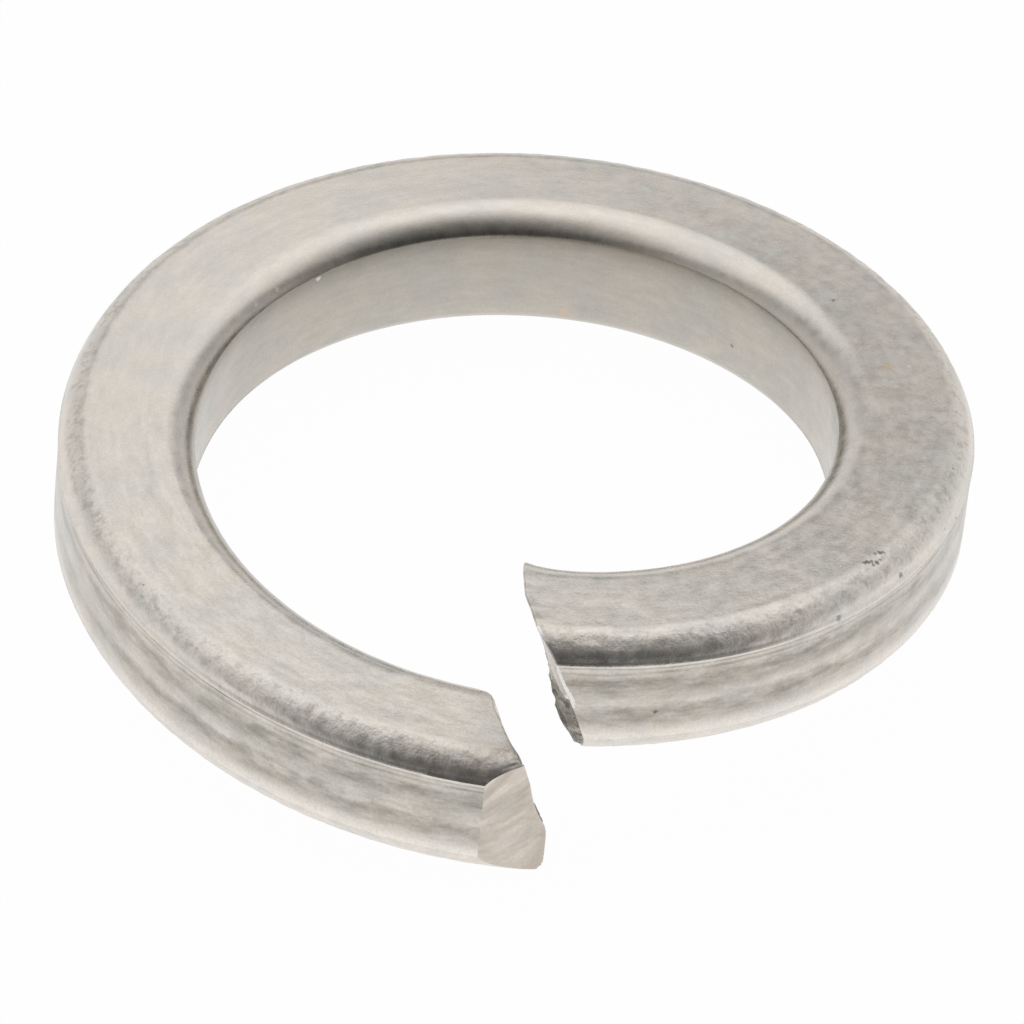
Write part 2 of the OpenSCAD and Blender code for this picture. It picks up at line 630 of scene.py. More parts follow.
# Nicks, spots and soft stains
MARKS = (
    Mark(243.5, 7.17, 2.7, 0.045, Stain.DARK, 0.6),
    Mark(263.4, 7.3, 2.7, 0.17, Stain.TAN, 0.25),
    Mark(263.4, 7.3, 2.7, 0.09, Stain.TAN, 0.45),
    Mark(263.6, 7.72, 2.7, 0.05, Stain.PALE, 0.5),
    Mark(314.5, 8.3, 2.7, 0.05, Stain.DARK, 0.7),
    Mark(314.0, 8.33, 2.7, 0.056, Stain.DARK, 0.8),
    Mark(313.5, 8.36, 2.69, 0.048, Stain.DARK, 0.7),
    Mark(313.7, 8.44, 2.68, 0.048, Stain.DARK, 0.6),
    Mark(312.9, 8.44, 2.68, 0.06, Stain.DARK, 0.75),
    Mark(312.1, 8.44, 2.68, 0.05, Stain.DARK, 0.7),
    Mark(311.8, 8.28, 2.7, 0.046, Stain.DARK, 0.6),
    Mark(311.2, 8.31, 2.7, 0.06, Stain.DARK, 0.8),
    Mark(310.7, 8.35, 2.69, 0.046, Stain.DARK, 0.6),
    Mark(60.1, 8.48, 2.67, 0.04, Stain.DARK, 0.7),
    Mark(287.4, 8.49, 2.67, 0.055, Stain.DARK, 0.6),
    Mark(297.9, 8.79, 2.32, 0.05, Stain.DARK, 0.6),
    Mark(294.2, 8.8, 2.2, 0.04, Stain.DARK, 0.5),
    Mark(300.6, 8.58, 2.64, 0.045, Stain.DARK, 0.6),
    Mark(310.2, 8.77, 2.33, 0.07, Stain.DARK, 0.6),
    Mark(322.6, 8.79, 2.24, 0.07, Stain.DARK, 0.5),
    Mark(347.6, 8.8, 1.09, 0.05, Stain.DARK, 0.75),
    Mark(364.0, 7.16, 2.7, 0.1, Stain.DARK, 0.14),
    Mark(363.4, 7.6, 2.7, 0.14, Stain.DARK, 0.16),
    Mark(362.7, 8.04, 2.7, 0.12, Stain.DARK, 0.2),
    Mark(362.2, 8.4, 2.68, 0.13, Stain.DARK, 0.2),
    Mark(228.6, 6.2, 0.98, 0.05, Stain.DARK, 0.5),
    Mark(194.2, 6.2, 0.47, 0.1, Stain.TAN, 0.5),
    Mark(146.5, 6.2, 2.2, 0.06, Stain.PALE, 0.6),
    Mark(137.2, 6.3, 2.42, 0.05, Stain.PALE, 0.5),
    Mark(131.5, 6.3, 2.45, 0.05, Stain.PALE, 0.5),
)


@dataclass
class WasherMesh:
    """The washer's surface: rows of section loops along the coil, and a cap on each end."""

    cuts: Cuts
    relief: Relief = Relief()
    # Rows near the low cut, along the coil and near the high cut, and the turns near the cuts
    low_rows: int = 56
    body_rows: int = 740
    high_rows: int = 56
    low_zone: float = 1.5
    high_zone: float = 7.0
    # Rings of a cap, how rows and rings crowd towards the edges, and passes for the blade mark
    cap_rings: int = 14
    crowding: float = 1.5
    passes: int = 4
    # Rounding of both cuts' edges, and of the high end's rolled outer edge by height
    edge_round: float = 0.045
    roll_r: Span = (8.2, 8.45)
    roll_h: Curve = (1.2, 1.35, 1.5, 1.9, 2.3)
    roll: Curve = (0.045, 0.1, 0.1, 0.065, 0.055)
    roll_flat: float = 0.5
    # Where the steel is rubbed bright and painted with a highlight: extra rounding on the side,
    # radius and height on the cut
    rubbed_round: float = 0.005
    rubbed_highlit_r: float = 8.42
    rubbed_highlit_h: float = 1.35
    sharp_angle: float = 40.0

    def __post_init__(self) -> None:
        """Works out the section and the turn at which the underside is lowest."""
        self.ring = self.cuts.ring
        self.section = Section(self.ring)
        lip_r = self.ring.outer_r - self.ring.outer_corner[0]
        lip = self.cuts.shift(lip_r, self.cuts.lip_h, self.cuts.low_skew)
        self.lowest = math.degrees(math.asin((self.cuts.gap / 2 - lip) / lip_r))

    def point(self, r: np.ndarray, h: np.ndarray, turn: np.ndarray) -> np.ndarray:
        """Places in space of places on the coiled wire.

        Args:
            r: Radii.
            h: Heights above the wire's underside.
            turn: Turns.

        Returns:
            One row of X, Y and Z for each place.
        """
        angle = np.radians(turn)
        lift = self.ring.rise * (turn - self.lowest) / 360
        out = r + self.ring.oval_sin * np.sin(2 * angle) + self.ring.oval_cos * np.cos(2 * angle)
        return np.stack([-out * np.sin(angle), -out * np.cos(angle), lift + h], axis=-1)

    def centre(self, mark: Mark) -> Triple:
        """Place of a small mark in space."""
        r, h, turn = (np.array([size]) for size in (mark.r, mark.h, mark.turn))
        return tuple(self.point(r, h, turn)[0].tolist())

    def rows(self) -> tuple[np.ndarray, np.ndarray, np.ndarray]:
        """Places of the wire's side, step by step along the coil.

        Returns:
            Radii, heights and turns, one row of each for each step.
        """
        section, ring, cuts = self.section, self.ring, self.cuts
        end = cuts.high_turn(section.r, section.h)
        bend = end - self.high_zone
        mark_start = cuts.mark_turns()[1]
        knee = np.maximum(mark_start, cuts.low_turn(section.r, section.h) + self.low_zone)
        low = np.linspace(0, 1, self.low_rows, endpoint=False) ** self.crowding
        middle = np.linspace(0, 1, self.body_rows, endpoint=False)
        high = 1 - (1 - np.linspace(0, 1, self.high_rows)) ** self.crowding
        rows = []
        for share in low:
            r, h = section.r, section.h
            for _ in range(self.passes):
                start = cuts.low_turn(r, h)
                turn = start + (knee - start) * share
                r, h = section.places(cuts.mark_radius(turn))
            rows.append((r, h, turn))
        rows += [(section.r, section.h, knee + (bend - knee) * share) for share in middle]
        rows += [(section.r, section.h, bend + (end - bend) * share) for share in high]
        r, h, turn = (np.array(column) for column in zip(*rows))
        near = np.radians(turn[-1] - turn) * ring.mid_r / cuts.curl_l
        inner = 1 - smooth_step(ring.bore_r, ring.bore_r + cuts.curl_w, r)
        return r - cuts.curl * np.exp(-near) * inner * smooth_step(*cuts.curl_h, h), h, turn

    def eased(
        self, r: np.ndarray, h: np.ndarray, turn: np.ndarray
    ) -> tuple[np.ndarray, np.ndarray]:
        """Rounding of the cuts' edges, widest where the high end's outer edge was rolled over.

        Args:
            r: Radii of every place.
            h: Heights above the wire's underside.
            turn: Turns.

        Returns:
            Depth of the rounding at every place, and whether the place is on the rolled edge.
        """
        near_low = np.radians(turn - turn[0]) * self.ring.mid_r
        near_high = np.radians(turn[-1] - turn) * self.ring.mid_r
        plain = np.full_like(turn, self.edge_round)
        rolled = np.interp(h, self.roll_h, self.roll) - self.edge_round
        wide = self.edge_round + rolled * smooth_step(*self.roll_r, r)
        depth = np.zeros_like(turn)
        for near, width in ((near_low, plain), (near_high, wide)):
            left = np.clip(width - near, 0.0, width)
            share = np.where(width > self.edge_round, self.roll_flat, 1.0)
            depth += share * (width - np.sqrt(width**2 - left**2))
        return depth, (near_high < wide) & (wide > self.edge_round + self.rubbed_round)

    def build(self) -> bpy.types.Object:
        """Makes the mesh, with its finishes by face and its map along and round the wire.

        Returns:
            The mesh object.
        """
        r, h, turn = self.rows()
        rows, count = r.shape
        along, across = np.radians(turn) * self.ring.mid_r, self.section.across
        out_r = np.roll(h, -1, axis=1) - np.roll(h, 1, axis=1)
        out_h = np.roll(r, 1, axis=1) - np.roll(r, -1, axis=1)
        size = np.maximum(np.hypot(out_r, out_h), TINY)
        eased, rolled = self.eased(r, h, turn)
        raised = self.relief.side(self.section, along, r) - eased
        skin_r, skin_h = r + raised * out_r / size, h + raised * out_h / size
        skin = Skin()
        skin.add_places(self.point(skin_r, skin_h, turn).reshape(-1, 3))
        for i in range(rows - 1):
            for j in range(count):
                k = (j + 1) % count
                corners = [
                    (i * count + j, along[i, j], across[j]),
                    (i * count + k, along[i, j], across[j + 1]),
                    ((i + 1) * count + k, along[i + 1, j], across[j + 1]),
                    ((i + 1) * count + j, along[i + 1, j], across[j]),
                ]
                zone = Zone(self.section.zone[j])
                skin.add_face(corners, self.side_finish(i, zone, bool(rolled[i, j])))
        for end, row in ((End.LOW, 0), (End.HIGH, rows - 1)):
            self.cap(skin, end, row * count, skin_r[row], skin_h[row])
        return skin.build("lock_washer_skin", self.sharp_angle)

    def side_finish(self, row: int, zone: Zone, rolled: bool) -> Finish:
        """Finish of the wire's side at one step of the coil.

        Args:
            row: Number of the step, from the low end.
            zone: Stretch of the section.
            rolled: Whether the place is on the high end's rolled edge.

        Returns:
            The rubbed bright finish with its painted highlight on the rolled edge, the blade's
            marks next to the cuts, and the tumbled finish elsewhere.
        """
        if rolled:
            return Finish.BURNISHED
        if zone is Zone.OUTER_WALL and row < self.low_rows:
            return Finish.SHEARED
        return Finish.TUMBLED

    def cap(self, skin: Skin, end: End, edge: int, edge_r: np.ndarray, edge_h: np.ndarray) -> None:
        """Adds the cut face of one end, as rings that close in on the wire's middle.

        Args:
            skin: The mesh, to which this adds.
            end: The end that is closed.
            edge: Number of the edge's first place.
            edge_r: Radii of the cut's own edge.
            edge_h: Heights of the cut's own edge.
        """
        count, mid_r, mid_h = len(edge_r), self.ring.mid_r, self.ring.mid_h
        turn_at = self.cuts.low_turn if end is End.LOW else self.cuts.high_turn
        order = 1 if end is End.LOW else -1
        loops = [(edge, edge_r, edge_h)]
        for step in range(1, self.cap_rings):
            share = 1 - (step / self.cap_rings) ** self.crowding
            r, h = mid_r + (edge_r - mid_r) * share, mid_h + (edge_h - mid_h) * share
            turn = turn_at(r, h) + np.degrees(self.relief.cut(self.ring, r, h, end) / r)
            loops.append((skin.add_places(self.point(r, h, turn)), r, h))
        r, h = np.array([mid_r]), np.array([mid_h])
        middle = (skin.add_places(self.point(r, h, turn_at(r, h))), mid_r, mid_h)
        for (a, ra, ha), (b, rb, hb) in zip(loops, loops[1:]):
            for j in range(count):
                k = (j + 1) % count
                inner = [(b + j, rb[j], hb[j]), (b + k, rb[k], hb[k])]
                corners = [(a + j, ra[j], ha[j]), *inner, (a + k, ra[k], ha[k])]
                skin.add_face(corners[::order], self.cap_finish(rb[j], hb[j], end))
        a, ra, ha = loops[-1]
        for j in range(count):
            k = (j + 1) % count
            corners = [(a + j, ra[j], ha[j]), middle, (a + k, ra[k], ha[k])]
            skin.add_face(corners[::order], self.cap_finish(mid_r, mid_h, end))

    def cap_finish(self, r: float, h: float, end: End) -> Finish:
        """Rubbed bright, with a painted highlight, on the high end's outer edge, and cut and torn
        elsewhere.
        """
        rubbed_and_highlit = end is End.HIGH and r > self.rubbed_highlit_r and h > self.rubbed_highlit_h
        return Finish.BURNISHED if rubbed_and_highlit else Finish.FRACTURED


def rgba(red: float, green: float, blue: float) -> tuple[float, float, float, float]:
    """A solid colour with its alpha."""
    return (red, green, blue, 1.0)


def direction(azimuth: float, elevation: float) -> Triple:
    """Unit direction from an azimuth, from -Y towards +X, and an elevation, both in degrees."""
    turn, up = math.radians(azimuth), math.radians(elevation)
    return (math.sin(turn) * math.cos(up), -math.cos(turn) * math.cos(up), math.sin(up))


@dataclass(frozen=True)
class Noise:
    """Settings of a noise, with the span of its values that is used."""

    scale: float
    detail: float
    rough: float
    span: Span = NOISE_SPAN


@dataclass
class Nodes:
    """Short calls for a shader's node tree. A value is a number, a vector, a colour or a link."""

    tree: bpy.types.NodeTree

    def add(self, kind: str, inputs: dict[int | str, object], **settings: object) -> bpy.types.Node:
        """Adds a node.

        Args:
            kind: Type of the node.
            inputs: Values of its inputs, by name or number.
            settings: Its properties, by name.

        Returns:
            The node.
        """
        node = self.tree.nodes.new(kind)
        for name, value in settings.items():
            setattr(node, name, value)
        for name, value in inputs.items():
            if isinstance(value, Socket):
                self.tree.links.new(value, node.inputs[name])
            else:
                node.inputs[name].default_value = value
        return node

    def math(self, operation: str, *values: object) -> Socket:
        """Result of a sum on one to three values."""
        return self.add("ShaderNodeMath", dict(enumerate(values)), operation=operation).outputs[0]

    def product(self, *values: object) -> Socket:
        """Values multiplied in order."""
        return reduce(lambda first, second: self.math("MULTIPLY", first, second), values)

    def vector(self, operation: str, *values: object) -> bpy.types.Node:
        """Node that works on vectors."""
        return self.add("ShaderNodeVectorMath", dict(enumerate(values)), operation=operation)

    def part(self, vector: Socket, axis: str) -> Socket:
        """One part of a vector: X, Y or Z."""
        return self.add("ShaderNodeSeparateXYZ", {0: vector}).outputs[axis]

    def ramp(self, value: object, span: Span, to: Span) -> Socket:
        """Value carried from one span to another, and held at both ends."""
        inputs = dict(enumerate((value, *span, *to)))
        return self.add("ShaderNodeMapRange", inputs, clamp=True).outputs["Result"]

    def mix(self, share: object, first: object, second: object) -> Socket:
        """Blend of two colours, by the share of the second one."""
        inputs = {"Factor": share, MIX_FIRST: first, MIX_SECOND: second}
        return self.add("ShaderNodeMix", inputs, data_type="RGBA").outputs[MIX_RESULT]

    def noise(self, place: Socket, kind: Noise) -> Socket:
        """Even noise from 0 to 1 at a place."""
        sizes = {"Scale": kind.scale, "Detail": kind.detail, "Roughness": kind.rough}
        return self.add("ShaderNodeTexNoise", {"Vector": place, **sizes}).outputs["Fac"]


@dataclass
class Patterns:
    """What a finish is mixed from: its nodes, its places and its noises.

    The way from the middle is along the wire, in units of the map, and the way round is a share
    of the section's outline.
    """

    nodes: Nodes
    place: Socket
    wire: Socket
    from_middle: Socket
    around: Socket
    patches: Socket
    mottle: Socket
    grain: Socket
    lines: Socket
    blots: Socket


@dataclass(frozen=True)
class WearAndShade:
    """Bands along the wire, from drawing, coiling and tumbling and with painted shade and
    highlight, and battered corners.

    A span of places is by the distance round the section, and a reach is by shares of the way
    from the wire's middle to its cuts.
    """

    wear_and_shade_bands: tuple[Span, ...] = WEAR_AND_SHADE_BANDS
    # Outer corner where the washers struck each other, and how its two edges blend out
    battered: Span = (1.95, 2.4)
    battered_blend: Span = (0.6, 1.4)
    # Share of the grain and the bump that is left at the wire's middle
    faint: float = 0.45
    faint_reach: Span = (0.4, 0.8)
    # Fray of every band's edge, and waver of the low ones, as shares of the way round
    fray: float = 0.0025
    waver: float = 0.028
    waver_below: Span = (1.35, 1.5)
    # Depth of the bands: at the wire's middle, from blotch to blotch, and on the inner side
    band_middle: float = 0.55
    band_reach: Span = (0.5, 0.8)
    blot_span: Span = (0.36, 0.64)
    blot_depth: Span = (1.35, 0.6)
    # Depth of the bands: at the wire's middle, from blotch to blotch, and on the inner side, where
    # the painted shade of the inner wall stays deep
    inner_side: Span = (2.85, 3.8)
    inner_depth: Span = (1.0, 0.6)
    inner_reach: Span = (0.15, 0.5)

    def along(self, seen: Patterns, reach: Span, to: Span) -> Socket:
        """Level that changes over a reach, from the wire's middle towards its cuts."""
        near, far = (share * HALF_COIL / MAP_MM for share in reach)
        return seen.nodes.ramp(seen.from_middle, (near, far), to)

    def battering(self, seen: Patterns) -> Socket:
        """How battered the steel is.

        Args:
            seen: The finish's nodes and places.

        Returns:
            1 on the battered corner, and 0 on the plain faces.
        """
        low, high = self.battered
        away = seen.nodes.math("SUBTRACT", seen.around, (low + high) / 2 / PERIMETER)
        near, far = (share * (high - low) / 2 / PERIMETER for share in self.battered_blend)
        return seen.nodes.ramp(seen.nodes.math("ABSOLUTE", away), (near, far), (1.0, 0.0))

    def wear_and_shade_banding(self, seen: Patterns) -> Socket:
        """Bands of wear and of painted shade and highlight along the wire, frayed and made stronger
        or fainter by the noises.

        Args:
            seen: The finish's nodes, places and noises.

        Returns:
            Share of the colour's own brightness.
        """
        nodes = seen.nodes
        below, above = (place / PERIMETER for place in self.waver_below)
        waver = nodes.ramp(seen.around, (below, above), (self.waver, 0.0))
        fray = nodes.ramp(seen.lines, NOISE_SPAN, (-self.fray, self.fray))
        frayed = nodes.math("ADD", seen.around, fray)
        frayed = nodes.math("MULTIPLY_ADD", nodes.math("SUBTRACT", seen.mottle, 0.5), waver, frayed)
        ramp = nodes.add("ShaderNodeValToRGB", {"Fac": frayed})
        stops = ramp.color_ramp.elements
        top = max(level for _, level in self.wear_and_shade_bands)
        # A new ramp has two stops already
        for number, (distance, level) in enumerate(self.wear_and_shade_bands):
            at = distance / PERIMETER
            stop = stops[number] if number < 2 else stops.new(at)
            stop.position = at
            stop.color = rgba(*(level / top,) * 3)
        change = nodes.math("MULTIPLY_ADD", ramp.outputs["Color"], top, -1.0)
        patchy = nodes.product(
            self.along(seen, self.band_reach, (self.band_middle, 1.0)),
            nodes.ramp(seen.blots, self.blot_span, self.blot_depth),
        )
        # On the inner side the painted shade of the inner wall keeps its depth
        outer, inner = (place / PERIMETER for place in self.inner_side)
        inside = nodes.product(
            nodes.ramp(seen.around, (outer, inner), (0.0, 1.0)),
            self.along(seen, self.inner_reach, self.inner_depth),
        )
        return nodes.math("MULTIPLY_ADD", change, nodes.math("MAXIMUM", patchy, inside), 1.0)


@dataclass(frozen=True)
class Steel:
    """A bare steel finish: its colours, its gloss, its grain and the way that its streaks run."""

    name: str
    warm: Triple
    cool: Triple
    roughness: float
    grain: float
    streaks: float
    # Length and width of the streaks and blotches, and the streaks' angle to the wire
    streak_cells: Span
    streak_angle: float = 0.0
    blotch: float = 0.05
    blotch_cells: Span = (0.9, 0.17)
    metal: float = 1.0
    gloss_swing: float = 0.05
    # Worn bands with painted shade and highlight, and battered corners
    wear_and_shade: WearAndShade | None = None
    # Colour of the torn steel, the height that it reaches, and its ragged and blended edge
    torn: Triple = (0.0, 0.0, 0.0)
    torn_h: float = 0.0
    torn_fray: float = 0.06
    torn_blend: Span = (0.95, 1.05)
    # Dark pits, added roughness and added bump where the steel is torn or battered
    pits: float = 0.0
    dulled: float = 0.16
    battering: float = 1.0
    # Height of the bump in metres, and shares of the mottle and the streaks in it
    bump: float = 0.000004
    mottle_bump: float = 2.0
    line_bump: float = 0.4
    # Powers of the brightness in green and blue, which warm the darker steel
    oxide: Span = (1.06, 1.18)
    marks: tuple[tuple[Mark, Triple], ...] = ()
    # Share of a mark's size by which its edge is ragged, and where its edge blends out
    mark_fray: float = 0.35
    mark_blend: Span = (0.6, 1.1)
    patch_noise: Noise = Noise(0.9, 3.0, 0.55, (0.42, 0.58))
    mottle_noise: Noise = Noise(3.5, 3.0, 0.6)
    grain_noise: Noise = Noise(16.0, 3.0, 0.65)
    line_noise: Noise = Noise(1.0, 3.0, 0.6)
    blot_noise: Noise = Noise(1.0, 4.0, 0.65, (0.32, 0.68))
    pit_noise: Noise = Noise(5.0, 4.0, 0.75, (0.4, 0.5))

    def build(self) -> bpy.types.Material:
        """Makes the material.

        Returns:
            The material.
        """
        material = bpy.data.materials.new(self.name)
        material.use_nodes = True
        nodes = Nodes(material.node_tree)
        shader = material.node_tree.nodes["Principled BSDF"]
        shader.inputs["Metallic"].default_value = self.metal
        seen = self.patterns(nodes)
        patches = nodes.ramp(seen.patches, self.patch_noise.span, (0.0, 1.0))
        tone = nodes.mix(patches, rgba(*self.warm), rgba(*self.cool))
        swings = (
            (seen.grain, self.grain_noise, self.grain),
            (seen.mottle, self.mottle_noise, self.grain),
            (seen.lines, self.line_noise, self.streaks),
            (seen.blots, self.blot_noise, self.blotch),
        )
        level = nodes.product(
            *(nodes.ramp(value, kind.span, (1 - reach, 1 + reach)) for value, kind, reach in swings)
        )
        spoiled, kept = 0.0, 1.0
        if self.wear_and_shade:
            kept = self.wear_and_shade.along(seen, self.wear_and_shade.faint_reach, (self.wear_and_shade.faint, 1.0))
            level = nodes.math("MULTIPLY_ADD", nodes.math("SUBTRACT", level, 1.0), kept, 1.0)
            # Darkens and lightens the colour by the worn bands and by the painted shade and
            # highlight
            level = nodes.product(level, self.wear_and_shade.wear_and_shade_banding(seen))
            spoiled = self.wear_and_shade.battering(seen)
        if self.torn_h:
            spoiled = self.torn_share(seen)
            tone = nodes.mix(spoiled, tone, rgba(*self.torn))
        if self.pits:
            pits = nodes.noise(seen.place, self.pit_noise)
            pits = nodes.ramp(pits, self.pit_noise.span, (self.pits, 0.0))
            level = nodes.product(level, nodes.math("SUBTRACT", 1.0, nodes.product(pits, spoiled)))
        warmed = dict(zip("YZ", (nodes.math("POWER", level, power) for power in self.oxide)))
        warmed = nodes.add("ShaderNodeCombineXYZ", {"X": level, **warmed}).outputs[0]
        colour = self.stained(seen, nodes.vector("MULTIPLY", tone, warmed).outputs[0])
        gloss = (self.roughness - self.gloss_swing, self.roughness + self.gloss_swing)
        gloss = nodes.ramp(seen.mottle, self.mottle_noise.span, gloss)
        rough = nodes.math("MULTIPLY_ADD", spoiled, self.dulled, gloss)
        for name, link in (
            ("Base Color", colour),
            ("Roughness", rough),
            ("Normal", self.bumped(seen, spoiled, kept)),
        ):
            material.node_tree.links.new(link, shader.inputs[name])
        return material

    def patterns(self, nodes: Nodes) -> Patterns:
        """Makes the finish's places and noises.

        Args:
            nodes: The material's nodes.

        Returns:
            The places and noises.
        """
        place = nodes.add("ShaderNodeTexCoord", {}).outputs["Object"]
        place = nodes.vector("MULTIPLY", place, (1 / METRES,) * 3).outputs[0]
        wire = nodes.add("ShaderNodeUVMap", {}, uv_map="wire").outputs["UV"]
        way = nodes.math("SUBTRACT", nodes.part(wire, "X"), HALF_COIL / MAP_MM)
        turn = {"Vector": wire, "Angle": math.radians(self.streak_angle)}
        turned = nodes.add("ShaderNodeVectorRotate", turn, rotation_type="Z_AXIS").outputs[0]
        drawn, wide = (
            nodes.vector("MULTIPLY", turned, (MAP_MM / long, MAP_MM / across, 1.0)).outputs[0]
            for long, across in (self.streak_cells, self.blotch_cells)
        )
        return Patterns(
            nodes=nodes,
            place=place,
            wire=wire,
            from_middle=nodes.math("ABSOLUTE", way),
            around=nodes.product(nodes.part(wire, "Y"), MAP_MM / PERIMETER),
            patches=nodes.noise(place, self.patch_noise),
            mottle=nodes.noise(place, self.mottle_noise),
            grain=nodes.noise(place, self.grain_noise),
            lines=nodes.noise(drawn, self.line_noise),
            blots=nodes.noise(wide, self.blot_noise),
        )

    def torn_share(self, seen: Patterns) -> Socket:
        """Where the cut is torn.

        Args:
            seen: The finish's nodes, places and noises.

        Returns:
            1 on the torn steel and 0 on the sheared steel above it.
        """
        nodes, height = seen.nodes, seen.nodes.part(seen.wire, "Y")
        ragged = nodes.math("SUBTRACT", seen.mottle, 0.5)
        edge = nodes.math("MULTIPLY_ADD", ragged, self.torn_fray, height)
        low, high = (share * self.torn_h / MAP_MM for share in self.torn_blend)
        return nodes.ramp(edge, (low, high), (1.0, 0.0))

    def stained(self, seen: Patterns, colour: Socket) -> Socket:
        """Adds the small marks to a colour.

        Args:
            seen: The finish's nodes, places and noises.
            colour: The colour.

        Returns:
            The colour with its marks.
        """
        nodes = seen.nodes
        for mark, centre in self.marks:
            away = nodes.vector("DISTANCE", seen.place, centre).outputs["Value"]
            fray = mark.size * self.mark_fray
            ragged = nodes.ramp(seen.grain, self.grain_noise.span, (-fray, fray))
            core, rim = (mark.size * share for share in self.mark_blend)
            share = nodes.ramp(nodes.math("ADD", away, ragged), (core, rim), (mark.strength, 0.0))
            colour = nodes.mix(share, colour, rgba(*mark.stain.value))
        return colour

    def bumped(self, seen: Patterns, spoiled: object, kept: object) -> Socket:
        """Fine bumps of the steel.

        Args:
            seen: The finish's nodes, places and noises.
            spoiled: How torn or battered the steel is.
            kept: Share of the bump that is left.

        Returns:
            Direction that the bumpy surface faces.
        """
        nodes = seen.nodes
        reach = nodes.math("MULTIPLY_ADD", spoiled, self.bump * self.battering, self.bump)
        height = nodes.math("MULTIPLY_ADD", seen.mottle, self.mottle_bump, seen.grain)
        height = nodes.math("MULTIPLY_ADD", seen.lines, self.line_bump, height)
        inputs = {"Strength": 1.0, "Distance": nodes.product(reach, kept), "Height": height}
        return nodes.add("ShaderNodeBump", inputs).outputs["Normal"]


@dataclass(frozen=True)
class LockWasher:
    """The washer as it is seen: its mesh and its finishes."""

    cuts: Cuts = Cuts()
    tumbled: Steel = Steel(
        name="tumbled_steel",
        warm=(0.658, 0.61, 0.55),
        cool=(0.618, 0.59, 0.544),
        roughness=0.28,
        grain=0.085,
        streaks=0.045,
        streak_cells=(1.4, 0.14),
        blotch=0.11,
        blotch_cells=(0.65, 0.24),
        wear_and_shade=WearAndShade(),
        pits=0.2,
        battering=2.0,
        bump=0.0000028,
        oxide=(1.02, 1.09),
    )
    sheared: Steel = Steel(
        name="sheared_steel",
        warm=(0.67, 0.6, 0.53),
        cool=(0.6, 0.55, 0.49),
        roughness=0.36,
        grain=0.05,
        streaks=0.12,
        streak_cells=(1.4, 0.24),
        streak_angle=30.0,
        blotch=0.2,
        blotch_cells=(1.6, 0.4),
        bump=0.000006,
    )
    # Rubbed bright steel whose near-white colour is partly a painted highlight, the white floor
    # that its edge mirrors
    burnished_and_highlit: Steel = Steel(
        name="burnished_highlit_steel",
        warm=(0.92, 0.89, 0.86),
        cool=(0.86, 0.84, 0.82),
        roughness=0.4,
        grain=0.03,
        streaks=0.03,
        streak_cells=(0.4, 0.2),
        metal=0.85,
    )
    fractured: Steel = Steel(
        name="fractured_steel",
        warm=(0.66, 0.6, 0.54),
        cool=(0.6, 0.56, 0.51),
        roughness=0.4,
        grain=0.1,
        streaks=0.5,
        streak_cells=(0.36, 0.34),
        torn=(0.45, 0.435, 0.395),
        torn_h=1.4,
        pits=0.5,
        bump=0.000013,
    )

    def build(self) -> bpy.types.Object:
        """Makes the washer, hangs it under the root body and hides the solid that it stands for.

        Returns:
            The washer.
        """
        mesh = WasherMesh(self.cuts)
        washer = mesh.build()
        marks = tuple((mark, mesh.centre(mark)) for mark in MARKS)
        tumbled = replace(self.tumbled, marks=marks)
        for steel in (tumbled, self.sheared, self.burnished_and_highlit, self.fractured):
            washer.data.materials.append(steel.build())
        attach(washer, "root")
        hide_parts("lock_washer")
        return washer


